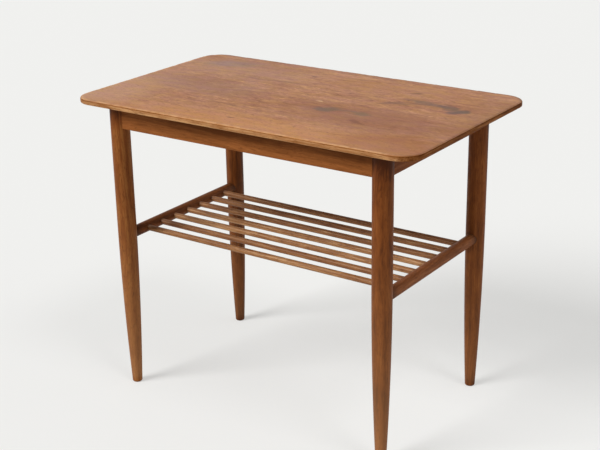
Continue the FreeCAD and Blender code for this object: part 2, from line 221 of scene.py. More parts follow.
def grain(tree, along, sizes, ring_width, sway):
    """Grain of one board: swaying growth rings, streaks, fibres, pores, blotches and broad clouds."""
    place = add(tree, "ShaderNodeTexCoord").outputs["Object"]
    swaying = patches(tree, place, along, *sizes["sway"], FIGURE_ROUGHNESS)["Color"]
    swayed = shifted(tree, place, swaying, tuple(0 if axis == along else sway * MM for axis in AXES))
    ring_size = grain_size(along, ring_width, RING_STRETCH * ring_width)
    spot = add(tree, "ShaderNodeMapping", {"Vector": swayed, "Scale": ring_size})
    rings = add(tree, "ShaderNodeTexWave", {
        "Vector": spot.outputs[0], "Scale": ONE_BAND, "Distortion": 1.5, "Detail": 2, "Detail Scale": 1,
    }, bands_direction="DIAGONAL")
    figure = {"place": place, "rings": rings.outputs["Fac"]}
    for name in ("streaks", "fibres", "pores", "blotches", "clouds"):
        figure[name] = patches(tree, swayed, along, *sizes[name], FIGURE_ROUGHNESS)["Fac"]
    return figure


def wood_surface(tree, figure, colour, dullness, sheen, relief):
    """Close a wood's tree: its colour, its roughness from one value to another over a pattern, its sheen,
    and its fibres and pores in relief of some strength and depth."""
    pattern, roughest, smoothest = dullness
    rough = add(tree, "ShaderNodeMapRange", {
        "Value": pattern, "From Min": PATTERN_LOW, "From Max": PATTERN_HIGH,
        "To Min": roughest, "To Max": smoothest,
    })
    strength, depth = relief
    bump = add(tree, "ShaderNodeBump", {
        "Height": weighted(tree, figure, RELIEF), "Strength": strength, "Distance": depth,
    })
    shader = add(tree, "ShaderNodeBsdfPrincipled", {
        "Base Color": colour, "Roughness": rough.outputs[0], "IOR": WOOD_IOR, "Specular IOR Level": sheen,
        "Normal": bump.outputs[0],
    })
    add(tree, "ShaderNodeOutputMaterial", {"Surface": shader.outputs[0]})


def wood(name, along, colours, roughness, sheen=0.12, ring_width=6, worn=None, fade=None, spread=0.21):
    """Solid wood with its grain along one axis, in four colours from dark to pale, and its colour where worn,
    which at the rods' ends is grime and painted shade.
    A fade of (low, high, amount) changes its tone between two heights, which paints the shadow under the top,
    and a smaller spread gives bolder streaks."""
    material, tree = new_material(name)
    figure = grain(tree, along, SOLID_FIGURE, ring_width, SOLID_SWAY)
    tone = add(tree, "ShaderNodeMapRange", {
        "Value": weighted(tree, figure, SOLID_TONE),
        "From Min": SOLID_MIDDLE - spread, "From Max": SOLID_MIDDLE + spread,
    }).outputs[0]
    piece_tone = add(tree, "ShaderNodeAttribute", attribute_name="tone").outputs["Fac"]
    tone = add(tree, MATHS, {0: tone, 1: piece_tone}, operation="ADD").outputs[0]
    if fade:
        low, high, amount = fade
        height = add(tree, "ShaderNodeSeparateXYZ", {"Vector": figure["place"]}).outputs["Z"]
        change = add(tree, "ShaderNodeMapRange", {
            "Value": height, "From Min": low, "From Max": high, "To Max": amount,
        }).outputs[0]
        tone = add(tree, MATHS, {0: tone, 1: change}, operation="ADD").outputs[0]
    stops = zip(COLOUR_STOPS, colours)
    colour = add(tree, "ShaderNodeValToRGB", {"Fac": tone}, stops).outputs["Color"]
    figure["open pores"] = add(tree, "ShaderNodeMapRange", {
        "Value": figure["pores"], "From Min": 0.57, "From Max": 0.7, "To Max": 0.5,
    }).outputs[0]
    wear = add(tree, "ShaderNodeAttribute", attribute_name="wear").outputs["Fac"]
    colour = layered(tree, colour, ((figure["open pores"], colours[0]), (wear, worn or colours[3])))
    dullness = figure["streaks"], roughness + ROUGHNESS_SWING, roughness - ROUGHNESS_SWING
    wood_surface(tree, figure, colour, dullness, sheen, SOLID_RELIEF)
    return material


# Zones and stains of the worn top: place, half length and half width in millimetres, turn in degrees,
# colour and strength
TOP_MARKS = (
    ("honey front", 40, -215, 460, 125, 0, "#BA8250", 0.9),
    ("pale left end", -330, -90, 150, 190, 0, "#B4896B", 0.85),
    ("tan back left", -200, 120, 200, 110, 0, "#A27A62", 0.6),
    ("mauve band", -190, -10, 190, 72, -4, "#8C6350", 0.7),
    ("mauve band", 170, -45, 230, 80, -3, "#865338", 0.8),
    ("brown right front", 270, -160, 130, 90, 0, "#965F36", 0.8),
    ("golden back", 120, 135, 220, 60, 2, "#A97850", 0.6),
    ("brown right end", 335, 60, 90, 150, 0, "#93663E", 0.6),
    ("lilac patch", -245, 142, 85, 34, 20, "#82695E", 0.7),
    ("grey stain", 84, -36, 29, 20, 20, "#5C4E3E", 0.85),
    ("grey stain", 144, -33, 27, 16, 0, "#665546", 0.75),
    ("grey stain", 113, -30, 26, 7, 0, "#665243", 0.65),
    ("dark band", 205, 78, 58, 15, -6, "#674F44", 0.85),
    ("dark band", 252, 71, 34, 14, -25, "#57443F", 0.9),
    ("dark smudge", 277, 57, 27, 15, 50, "#46393A", 0.95),
    ("dark band", 160, 52, 46, 11, 25, "#6E4C3A", 0.75),
    ("dark fleck", -52, 137, 11, 7, 0, "#563522", 0.85),
    ("dark fleck", 160, 127, 15, 9, 10, "#653C20", 0.85),
    ("dark fleck", -21, -157, 11, 5, 0, "#4A2C1A", 0.9),
    ("red fleck", 163, -76, 24, 10, -30, "#683624", 0.75),
    ("dark streak", -100, 75, 100, 8, 3, "#7A5139", 0.6),
    ("dark streak", -90, -92, 70, 7, -8, "#7C5032", 0.55),
    ("pale speck", 43, 3, 6, 5, 0, "#D2A98A", 0.8),
)
# A mark goes right through the veneer, is at full strength from this share of the way in, and lets this
# share of the wood show through
MARK_DEPTH = 1e6
MARK_FULL = 0.7
MARK_CLEARNESS = 0.2
# Ragged patches push a mark's edges about: their width, length and detail, and how far along each axis
RAGGED_PATCHES = (18, 40, 4)
RAGGED_REACH = (40 * MM, 26 * MM, 0)
# Greenish and lilac swirls over the whole veneer
VENEER_SWIRLS = ((0.41, "#BFBEAC"), (0.59, "#BDB8C2"))
# Wear below zero is grime, with painted shade on the right end, and so much stronger than rubbing
GRIME_AND_SHADE_STRENGTH = 2.2


def worn_teak_veneer(name, colours, pore_colour, rubbed_and_lit_colour, grimy_and_shaded_colour):
    """Flat-sliced veneer, oiled and worn, in four colours from dark to pale under its marks."""
    material, tree = new_material(name)
    figure = grain(tree, "X", VENEER_FIGURE, VENEER_RINGS, VENEER_SWAY)
    tone = add(tree, "ShaderNodeMapRange", {
        "Value": weighted(tree, figure, VENEER_TONE),
        "From Min": VENEER_MIDDLE - VENEER_SPREAD, "From Max": VENEER_MIDDLE + VENEER_SPREAD,
    }).outputs[0]
    stops = zip(COLOUR_STOPS, colours)
    colour = add(tree, "ShaderNodeValToRGB", {"Fac": tone}, stops).outputs["Color"]
    ragged = patches(tree, figure["place"], "X", *RAGGED_PATCHES)
    spread = shifted(tree, figure["place"], ragged["Color"], RAGGED_REACH)
    for _, x, y, half_length, half_width, turn, hue, strength in TOP_MARKS:
        inside = add(tree, "ShaderNodeMapping", {
            "Vector": spread, "Location": (x * MM, y * MM, 0), "Rotation": (0, 0, math.radians(turn)),
            "Scale": (half_length * MM, half_width * MM, MARK_DEPTH),
        }, vector_type="TEXTURE").outputs[0]
        fading = add(tree, "ShaderNodeTexGradient", {"Vector": inside}, gradient_type="SPHERICAL")
        mask = add(tree, "ShaderNodeMapRange", {
            "Value": fading.outputs["Fac"], "From Max": MARK_FULL, "To Max": strength,
        }, interpolation_type="SMOOTHSTEP").outputs[0]
        stain = {"Factor": MARK_CLEARNESS, "A": linear(hue), "B": colour}
        stained = add(tree, "ShaderNodeMix", stain, data_type="RGBA").outputs["Result"]
        mark = {"Factor": mask, "A": colour, "B": stained}
        colour = add(tree, "ShaderNodeMix", mark, data_type="RGBA").outputs["Result"]
    swirl = add(tree, "ShaderNodeValToRGB", {"Fac": ragged["Fac"]}, VENEER_SWIRLS).outputs["Color"]
    swirled = {"Factor": 1, "A": colour, "B": swirl}
    colour = add(tree, "ShaderNodeMix", swirled, data_type="RGBA", blend_type="OVERLAY").outputs["Result"]
    figure["open pores"] = add(tree, "ShaderNodeMapRange", {
        "Value": figure["pores"], "From Min": 0.56, "From Max": 0.7, "To Max": 0.45,
    }).outputs[0]
    wear = add(tree, "ShaderNodeAttribute", attribute_name="wear").outputs["Fac"]
    grime = add(tree, MATHS, {0: wear, 1: -GRIME_AND_SHADE_STRENGTH}, operation="MULTIPLY").outputs[0]
    colour = layered(tree, colour, (
        (figure["open pores"], pore_colour), (wear, rubbed_and_lit_colour), (grime, grimy_and_shaded_colour),
    ))
    wood_surface(tree, figure, colour, (figure["clouds"], 0.5, 0.4), 0.12, VENEER_RELIEF)
    return material


def aged_steel(name, colours):
    """Turned steel of the screws, dulled with age."""
    material, tree = new_material(name)
    place = add(tree, "ShaderNodeTexCoord").outputs["Object"]
    dull = patches(tree, place, "Z", width=2, length=2, detail=3)["Fac"]
    stops = zip((PATTERN_LOW, PATTERN_HIGH), colours)
    colour = add(tree, "ShaderNodeValToRGB", {"Fac": dull}, stops).outputs["Color"]
    rough = add(tree, "ShaderNodeMapRange", {
        "Value": dull, "From Min": PATTERN_LOW, "From Max": PATTERN_HIGH, "To Min": 0.5, "To Max": 0.32,
    }).outputs[0]
    shader = add(tree, "ShaderNodeBsdfPrincipled", {"Base Color": colour, "Roughness": rough, "Metallic": 1})
    add(tree, "ShaderNodeOutputMaterial", {"Surface": shader.outputs[0]})
    return material


# Colours of each wood, from its darkest streak to its palest
TEAK_FACE = ("#784629", "#986644", "#AA764F", "#C49068")
TEAK_EDGE = ("#552C0F", "#7C4B24", "#9A6A42", "#C09264")
TEAK_LEG = ("#4A230A", "#6A3712", "#7A431A", "#8E5828")
TEAK_RAIL = ("#643614", "#7F4A22", "#8E5429", "#A66B38")
TEAK_STRETCHER = ("#4A260F", "#683A1B", "#7A4623", "#966038")
TEAK_SLAT = ("#54301A", "#764A2A", "#8E6038", "#B88C60")
TEAK_BROWN = ("#42240F", "#5E361A", "#704324", "#8A5732")
SOFTWOOD = ("#8A6A46", "#A5845A", "#B4946A", "#C4A67C")
BEECH = ("#A88258", "#BD9A6E", "#CBAA7E", "#D8BA90")

# Height from, height to and change of tone up under the top: a painted shadow of the top's overhang
LEG_PAINTED_SHADOW = (LEG_TOP - 42 * MM, LEG_TOP - 2 * MM, -0.7)
RAIL_PAINTED_SHADOW = (RAIL_LOW.z + 8 * MM, RAIL_HIGH.z, -0.6)

# Teak veneer, sliced flat, oiled and worn: swirls of honey, orange and mauve under short dark pores,
# a soft sheen, and stains and smudges where wet and hot things stood
# Its front arris is pale where rubbed, partly a painted highlight, and its right end is dark with grime and
# painted shade
VENEER_TEAK = worn_teak_veneer("worn_oiled_teak_veneer", TEAK_FACE, "#6E4329", "#CB9A6C", "#5C371C")
# Solid teak, planed: straight streaks along each strip, close to matt, golden where hands have rubbed the
# front and the left end, and red-brown on the back and the right end, darkening round the front right corner
# as painted shade
LIPPING_TEAK = {
    along: wood(f"planed_teak_lipping_along_{along.lower()}", along, TEAK_EDGE, 0.5, 0.02)
    for along in "XY"
}
# Solid teak, turned and oiled: bold upright streaks and a low sheen down each leg, darkened under the top as
# a painted shadow of the overhang, and bleached and scuffed towards the foot, less and less up the leg, so
# that the upper leg stays darker as painted shade
LEG_TEAK = wood(
    "turned_oiled_teak_leg", "Z", TEAK_LEG, 0.44, 0.08,
    ring_width=9, worn="#A67A54", fade=LEG_PAINTED_SHADOW, spread=0.16,
)
# Solid teak, planed: even red-brown with streaks along the rail, close to matt, darker up under the top as a
# painted shadow of the overhang
# The end rails take the legs' darker colours, as painted shade on the right rail, which faces away from the
# light
RAIL_TEAK = {
    along: wood(f"planed_teak_rail_along_{along.lower()}", along, colours, 0.48, 0.05, fade=RAIL_PAINTED_SHADOW)
    for along, colours in (("X", TEAK_RAIL), ("Y", TEAK_LEG))
}
# Solid teak, turned: a dark plain rod with a dull shine, darkened with grime and painted shade where it
# enters the legs
STRETCHER_TEAK = wood("turned_teak_stretcher", "Y", TEAK_STRETCHER, 0.5, 0.08, worn="#2E1A0E")
# Solid teak, turned thin: each slat its own tone from honey to brown and a little darker towards the back as
# painted shade under the top, with a thin line of shine along it and darker ends of grime and painted shade
SLAT_TEAK = wood("turned_teak_slat", "X", TEAK_SLAT, 0.48, 0.2, ring_width=4, worn="#3E2616")
# Teak veneer, sliced and left bare: dull dark brown, as an underside is that was never oiled
BACKING_TEAK = wood("bare_teak_backing_veneer", "X", TEAK_BROWN, 0.62)
# Softwood core, sawn: pale, coarse and quite matt, shut in between the veneers
CORE_BOARD = wood("sawn_core_board", "X", SOFTWOOD, 0.7)
# Beech, turned: pale and close-grained pins, hidden in the joints
DOWEL_BEECH = wood("turned_beech_dowel", "X", BEECH, 0.6)
# Plain steel, turned and aged: a dull grey glint deep in each counterbore
SCREW_STEEL = aged_steel("dull_turned_screw_steel", ("#6B655C", "#9A968E"))


def finished(name, mesh, material, nodes, sharp=SHARP):
    """Shade a mesh, put it in the scene and tie it to the frame."""
    mesh.name = name
    mesh.materials.clear()
    mesh.materials.append(material)
    mesh.polygons.foreach_set("use_smooth", [True] * len(mesh.polygons))
    mesh.set_sharp_from_angle(angle=math.radians(sharp))
    piece = bpy.data.objects.new(name, mesh)
    bpy.context.scene.collection.objects.link(piece)
    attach(piece, BODY)
    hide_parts(*nodes)


def mesh_with_looks(name, points, faces, looks):
    """A mesh with what its material needs to know at each point."""
    mesh = bpy.data.meshes.new(name)
    mesh.from_pydata(points, [], faces)
    for look, values in looks.items():
        mesh.attributes.new(look, "FLOAT", "POINT").data.foreach_set("value", values)
    return mesh


def rim_run(first, last):
    """Points of the top's outline with their outward directions, from one corner's bisector to another's.
    Corners count from the back right, the way the clock runs backwards."""
    half_x = TOP_LENGTH / 2 - CORNER_RADIUS
    half_y = TOP_WIDTH / 2 - CORNER_RADIUS
    centres = ((half_x, half_y), (-half_x, half_y), (-half_x, -half_y), (half_x, -half_y))
    run = []
    for corner in range(first, last + 1):
        centre = Vector(centres[corner % 4])
        start = 45 if corner == first else 0
        end = 45 if corner == last else 90
        for number in range(CORNER_STEPS + 1):
            angle = math.radians(90 * corner + start + (end - start) * number / CORNER_STEPS)
            outward = Vector((math.cos(angle), math.sin(angle)))
            run.append((centre + CORNER_RADIUS * outward, outward))
        if corner < last:
            begin, outward = run[-1]
            length = 2 * (half_x if corner % 2 == 0 else half_y)
            count = round(length / RIM_STEP)
            along = Vector((-outward.y, outward.x))
            run += [(begin + along * length * number / count, outward) for number in range(1, count)]
    return run


# Dents of the top's edge: size of a patch, its fractal's increment, lacunarity and octaves, the value from
# which it dents, the depth that it dents to, and how far the edge sinks for each dent's depth
DENT_SIZE = 14 * MM
DENT_FRACTAL = (0.8, 2.2, 4)
DENT_FROM = -0.05
DENT_DEPTH = 1.1 * MM
DENT_SINK = 0.35
# Wear of the left end against the front's, and painted shade at the front right corner, where the edge turns
# away from the light
LEFT_WEAR = 0.9
CORNER_PAINTED_SHADE = 2
# Level and contrast of the patches in which an edge is rubbed, with a painted highlight on the top's front
# arris, and of those in which it carries grime, with painted shade on the right end
RUB_AND_HIGHLIGHT_PATCHES = (0.55, 1.1)
GRIME_AND_SHADE_PATCHES = (0.3, 0.1)
# Rubbing, partly a painted highlight, spreads over the arris and a little of the face, and grime, partly
# painted shade, keeps close to the arris
RUB_AND_HIGHLIGHT_POWER = 1
GRIME_AND_SHADE_POWER = 3
# Tone of an edge that isn't rubbed, how much paler the front is, and the left end's share of that. The paler
# front fades into that tone round the front right corner as painted shade
EDGE_TONE = -0.27
FRONT_PALER = 0.49
LEFT_PALER = 0.8


def edge_wear_and_light(spot, outward):
    """How a place on the outline has aged, and the light painted on it: its dents, its wear and its tone. The
    front and the left end are rubbed and pale, with a painted highlight on the front; the back and the right
    end carry grime, with painted shade on the right end; and the corner between front and right is darkened
    as painted shade. Grime and painted shade are wear below zero."""
    dents = noise.fractal(Vector((spot.x, spot.y, 0)) / DENT_SIZE, *DENT_FRACTAL)
    front, right = -outward.y, outward.x
    handling_and_light = front - LEFT_WEAR * right - CORNER_PAINTED_SHADE * max(right, 0) * max(front, 0)
    level, contrast = RUB_AND_HIGHLIGHT_PATCHES if handling_and_light > 0 else GRIME_AND_SHADE_PATCHES
    wear = handling_and_light * min(max(level + contrast * dents, 0), 1)
    tone = EDGE_TONE + FRONT_PALER * max(front - max(right, 0), -LEFT_PALER * right, 0)
    return dents, wear, tone


def sweep(run, section, closed_run):
    """Carry a closed section of (inset, height, rubbing) points along a run of the outline.
    Gives points, faces and each point's wear and tone, which carry painted highlight and shade as well. A
    rubbing below zero darkens the tone there."""
    points, faces, wear, tone = [], [], [], []
    size = len(section)
    for spot, outward in run:
        dents, worn, bleached = edge_wear_and_light(spot, outward)
        power = RUB_AND_HIGHLIGHT_POWER if worn > 0 else GRIME_AND_SHADE_POWER
        for inset, height, rubbing in section:
            reached = max(rubbing, 0)
            eaten = reached * max(dents - DENT_FROM, 0) * DENT_DEPTH
            place = spot - outward * (inset + eaten)
            points.append((place.x, place.y, height - DENT_SINK * eaten))
            wear.append(reached**power * worn)
            tone.append(bleached + min(rubbing, 0))
    stations = len(run) if closed_run else len(run) - 1
    for station in range(stations):
        here = station * size
        there = (station + 1) % len(run) * size
        for number in range(size):
            following = (number + 1) % size
            faces.append((here + number, here + following, there + following, there + number))
    if not closed_run:
        faces.append(tuple(range(size - 1, -1, -1)))
        faces.append(tuple(range(len(points) - size, len(points))))
    return points, faces, {"wear": wear, "tone": tone}


def arris_points(first, last, steps, rubs):
    """Points of the top's rounded upper edge between two angles up from its side, with rubbing from rubs."""
    points = []
    for number in range(steps + 1):
        angle = first + (last - first) * number / steps
        inset = TOP_ARRIS * (1 - math.cos(angle))
        height = TOP_HIGH.z - TOP_ARRIS * (1 - math.sin(angle))
        points.append((inset, height, rubs[0] + (rubs[1] - rubs[0]) * number / steps))
    return points


def top_veneer():
    """Face of the top, with a rounded and rubbed upper arris, whose rubbing on the front is partly a painted
    highlight.
    """
    border = 20 * MM
    # Inset and rubbing of each ring of points on the face
    face_rings = ((border, 0), (9 * MM, 0), (5 * MM, 0.55))
    section = [(inset, TOP_HIGH.z, rubbing) for inset, rubbing in face_rings]
    section += arris_points(math.radians(90), VENEER_ANGLE, steps=6, rubs=(1, 0.5))
    section.append((border, TOP_LOW.z, 0))
    run = rim_run(0, 4)[:-1]
    points, faces, looks = sweep(run, section, True)
    size = len(section)
    under = size - 1
    # The section's inner side gives way to one wide face above and one below
    faces = [face for face in faces if {face[0] % size, face[1] % size} != {0, under}]
    faces.append(tuple(station * size for station in range(len(run))))
    faces.append(tuple(station * size + under for station in reversed(range(len(run)))))
    mesh = mesh_with_looks("top_veneer", points, faces, looks)
    finished("top_veneer", mesh, VENEER_TEAK, ["face_veneer"], SHARP_ON_FACE)


def lippings():
    """Solid strips round the top: a rounded upper edge, an upright rim, a soft lower arris and the bevel."""
    rim_low = TOP_HIGH.z - RIM_HEIGHT
    slope = math.atan2(rim_low - LIPPING_BOTTOM, BEVEL_WIDTH)
    section = [(LIPPING_WIDTH, TOP_LOW.z, 0)]
    section += arris_points(VENEER_ANGLE, 0, steps=4, rubs=(-0.5, 0))
    turn = math.radians(90) - slope
    tangent = RIM_ARRIS * math.tan(turn / 2)
    rim_rubs = (0, 0.5, 0.7, 0.7, 0.5, 0)
    for number, rubbing in enumerate(rim_rubs):
        angle = turn * number / (len(rim_rubs) - 1)
        inset = RIM_ARRIS * (1 - math.cos(angle))
        section.append((inset, rim_low + tangent - RIM_ARRIS * math.sin(angle), rubbing))
    section += [(BEVEL_WIDTH, LIPPING_BOTTOM, 0), (LIPPING_WIDTH, LIPPING_BOTTOM, 0)]
    for corner, (side, along) in enumerate((("back", "X"), ("left", "Y"), ("front", "X"), ("right", "Y"))):
        name = f"{side}_lipping"
        mesh = mesh_with_looks(name, *sweep(rim_run(corner, corner + 1), section, False))
        finished(name, mesh, LIPPING_TEAK[along], [f"lipping_{side}"])


def counterbore(x, y):
    """Round bit that cuts a counterbore, from below the rail up to the hole's end."""
    run_in = 5 * MM
    points = []
    for height in (RAIL_LOW.z - run_in, RAIL_LOW.z + SCREW_HOLE_DEPTH):
        for number in range(HOLE_SIDES):
            angle = math.tau * number / HOLE_SIDES
            spot = (x + SCREW_HOLE_RADIUS * math.cos(angle), y + SCREW_HOLE_RADIUS * math.sin(angle))
            points.append((*spot, height))
    faces = []
    for number in range(HOLE_SIDES):
        following = (number + 1) % HOLE_SIDES
        faces.append((number, following, HOLE_SIDES + following, HOLE_SIDES + number))
    faces += [tuple(reversed(range(HOLE_SIDES))), tuple(range(HOLE_SIDES, 2 * HOLE_SIDES))]
    mesh = bpy.data.meshes.new("counterbore")
    mesh.from_pydata(points, [], faces)
    return bpy.data.objects.new("counterbore", mesh)


def drilled(mesh, places):
    """Cut counterbores for the top's screws into the underside of a rail."""
    rail = bpy.data.objects.new("rail_blank", mesh)
    bits = [counterbore(x, y) for x, y in places]
    for blank in (rail, *bits):
        bpy.context.scene.collection.objects.link(blank)
    for bit in bits:
        hole = rail.modifiers.new("counterbore", "BOOLEAN")
        hole.object = bit
        hole.operation = "DIFFERENCE"
        hole.solver = "EXACT"
    depsgraph = bpy.context.evaluated_depsgraph_get()
    result = bpy.data.meshes.new_from_object(rail.evaluated_get(depsgraph))
    for leftover in (rail, *bits):
        bpy.data.objects.remove(leftover)
    return result


def rails():
    """Rails with eased edges, their ends hollowed to fit the round legs."""
    half = RAIL_THICKNESS / 2
    row = RAIL_COLUMNS + 1
    for name, along, side in (("front", "X", -1), ("back", "X", 1), ("left", "Y", -1), ("right", "Y", 1)):
        reach, offset = (LEG_X, side * LEG_Y) if along == "X" else (LEG_Y, side * LEG_X)
        points = []
        for end in (-1, 1):
            for edge, inwards in ((RAIL_LOW.z, 1), (RAIL_HIGH.z, -1)):
                for number in range(row):
                    across = -half * math.cos(math.pi * number / RAIL_COLUMNS)
                    depth = max(abs(across) - (half - RAIL_ARRIS), 0)
                    eased = RAIL_ARRIS - math.sqrt(max(RAIL_ARRIS**2 - depth**2, 0))
                    distance = end * (reach - math.sqrt(COPE_RADIUS**2 - across**2))
                    spot = (distance, offset + across) if along == "X" else (offset + across, distance)
                    points.append((*spot, edge + inwards * eased))
        faces = []
        for a in range(RAIL_COLUMNS):
            b = a + 1
            faces.append((a, 2 * row + a, 2 * row + b, b))
            faces.append((row + a, row + b, 3 * row + b, 3 * row + a))
            faces.append((a, b, row + b, row + a))
            faces.append((2 * row + a, 3 * row + a, 3 * row + b, 2 * row + b))
        faces.append((0, row, 3 * row, 2 * row))
        faces.append(tuple(RAIL_COLUMNS + corner for corner in (0, 2 * row, 3 * row, row)))
        if along == "X":
            faces = [tuple(reversed(face)) for face in faces]
        mesh = bpy.data.meshes.new(f"{name}_rail")
        mesh.from_pydata(points, [], faces)
        screws = [(end * SCREW_X, offset) for end in (-1, 1)] if along == "X" else [(offset, 0)]
        finished(f"{name}_rail", drilled(mesh, screws), RAIL_TEAK[along], [f"rail_{name}"])


def new_shape_tree(name, sizes):
    """Start a Geometry Nodes tree with named inputs."""
    kinds = {int: "NodeSocketInt", float: "NodeSocketFloat", tuple: "NodeSocketVector"}
    tree = bpy.data.node_groups.new(name, "GeometryNodeTree")
    tree.interface.new_socket("Geometry", in_out="OUTPUT", socket_type="NodeSocketGeometry")
    for size, value in sizes.items():
        tree.interface.new_socket(size, in_out="INPUT", socket_type=kinds[type(value)])
    tree.interface.new_socket("Material", in_out="INPUT", socket_type="NodeSocketMaterial")
    return tree, add(tree, "NodeGroupInput").outputs


def close_shape_tree(tree, given, shape, wear, across):
    """End a tree: the shape's wear, which carries painted shade as well, a row of copies across an axis, a
    tone for each copy with a step from one to the next, the copies made real, and the material."""
    aged = add(tree, "GeometryNodeStoreNamedAttribute", {
        "Geometry": shape, "Name": "wear", "Value": wear,
    }, domain="POINT")
    pitches = add(tree, MATHS, {0: given["Count"], 1: -0.5, 2: 0.5}, operation="MULTIPLY_ADD").outputs[0]
    first = add(tree, MATHS, {0: pitches, 1: given["Pitch"]}, operation="MULTIPLY").outputs[0]
    offset = add(tree, "ShaderNodeCombineXYZ", {across: first}).outputs[0]
    start = add(tree, "ShaderNodeVectorMath", {0: given["Row Middle"], 1: offset}, operation="ADD")
    step = add(tree, "ShaderNodeCombineXYZ", {across: given["Pitch"]})
    row = add(tree, "GeometryNodeMeshLine", {
        "Count": given["Count"], "Start Location": start.outputs[0], "Offset": step.outputs[0],
    })
    copies = add(tree, "GeometryNodeInstanceOnPoints", {
        "Points": row.outputs[0], "Instance": aged.outputs[0],
    })
    chance = add(tree, "FunctionNodeRandomValue", {
        "Min": given["Tone Low"], "Max": given["Tone High"], "Seed": given["Seed"],
    }).outputs["Value"]
    number = add(tree, "GeometryNodeInputIndex").outputs[0]
    steps = {0: number, 1: given["Tone Step"], 2: chance}
    toned = add(tree, "GeometryNodeStoreNamedAttribute", {
        "Geometry": copies.outputs[0], "Name": "tone",
        "Value": add(tree, MATHS, steps, operation="MULTIPLY_ADD").outputs[0],
    }, domain="INSTANCE")
    real = add(tree, "GeometryNodeRealizeInstances", {"Geometry": toned.outputs[0]})
    dressed = add(tree, "GeometryNodeSetMaterial", {
        "Geometry": real.outputs[0], "Material": given["Material"],
    })
    add(tree, "NodeGroupOutput", {0: dressed.outputs[0]})


def shaped(tree, sizes, material):
    """Run a Geometry Nodes tree with its sizes and keep the result as a plain mesh."""
    carrier = bpy.data.objects.new(tree.name, bpy.data.meshes.new(tree.name))
    bpy.context.scene.collection.objects.link(carrier)
    maker = carrier.modifiers.new(tree.name, "NODES")
    maker.node_group = tree
    sockets = {item.name: item.identifier for item in tree.interface.items_tree if item.in_out == "INPUT"}
    for name, value in {**sizes, "Material": material}.items():
        maker[sockets[name]] = value
    depsgraph = bpy.context.evaluated_depsgraph_get()
    mesh = bpy.data.meshes.new_from_object(carrier.evaluated_get(depsgraph))
    carrier.modifiers.remove(maker)
    bpy.data.objects.remove(carrier)
    return mesh


def leg_tree(sizes):
    """Tree of a pair of turned legs: straight above, then one long curve down to a small rounded foot."""
    tree, given = new_shape_tree("turned_legs", sizes)
    axis = add(tree, "GeometryNodeCurvePrimitiveLine", {"Start": (0, 0, 0), "End": (0, 0, 1)})
    stations = add(tree, "GeometryNodeResampleCurve", {"Curve": axis.outputs[0], "Count": given["Rings"]})
    share = add(tree, "GeometryNodeSplineParameter").outputs["Factor"]
    # Stations crowd towards the foot, where the rounding is tight
    crowding = add(tree, MATHS, {0: share, 1: 0.97, 2: 0.03}, operation="MULTIPLY_ADD").outputs[0]
    crowded = add(tree, MATHS, {0: share, 1: crowding}, operation="MULTIPLY").outputs[0]
    level = add(tree, MATHS, {0: crowded, 1: given["Height"]}, operation="MULTIPLY").outputs[0]
    spot = add(tree, "ShaderNodeCombineXYZ", {"Z": level})
    raised = add(tree, "GeometryNodeSetPosition", {
        "Geometry": stations.outputs[0], "Position": spot.outputs[0],
    })
    place = add(tree, "GeometryNodeInputPosition").outputs[0]
    height = add(tree, "ShaderNodeSeparateXYZ", {"Vector": place}).outputs["Z"]
    # Two arcs draw the leg in: the long curve below the knee, and the rounding of the foot's edge
    radius = given["Leg Radius"]
    for arc_name, start_name in (("Curve Radius", "Knee Height"), ("Foot Round", "Foot Round")):
        arc = given[arc_name]
        below = add(tree, MATHS, {0: given[start_name], 1: height}, operation="SUBTRACT").outputs[0]
        depth = add(tree, MATHS, {0: below, 1: 0}, operation="MAXIMUM").outputs[0]
        depth_square = add(tree, MATHS, {0: depth, 1: depth}, operation="MULTIPLY").outputs[0]
        arc_square = add(tree, MATHS, {0: arc, 1: arc}, operation="MULTIPLY").outputs[0]
        reach_square = add(tree, MATHS, {0: arc_square, 1: depth_square}, operation="SUBTRACT").outputs[0]
        reach = add(tree, MATHS, {0: reach_square}, operation="SQRT").outputs[0]
        drawn_in = add(tree, MATHS, {0: arc, 1: reach}, operation="SUBTRACT").outputs[0]
        radius = add(tree, MATHS, {0: radius, 1: drawn_in}, operation="SUBTRACT").outputs[0]
    circle = add(tree, "GeometryNodeCurvePrimitiveCircle", {"Resolution": given["Sides"], "Radius": 1})
    turned = add(tree, "GeometryNodeCurveToMesh", {
        "Curve": raised.outputs[0], "Profile Curve": circle.outputs[0], "Scale": radius, "Fill Caps": True,
    })
    # Feet are scuffed and bleached, and carry grime where they meet the floor; the bleaching fades up the
    # leg, which keeps the upper leg darker as painted shade under the top
    kicked = add(tree, "ShaderNodeMapRange", {
        "Value": height, "From Max": given["Grime Height"], "To Max": given["Scuff"],
    }).outputs[0]
    lowness = add(tree, "ShaderNodeMapRange", {
        "Value": height, "From Max": given["Height"], "To Min": 1, "To Max": 0,
    }).outputs[0]
    falling = add(tree, MATHS, {0: lowness, 1: 2}, operation="POWER").outputs[0]
    scuffed_and_shaded = add(tree, MATHS, {0: kicked, 1: falling}, operation="MULTIPLY").outputs[0]
    close_shape_tree(tree, given, turned.outputs[0], scuffed_and_shaded, "X")
    return tree


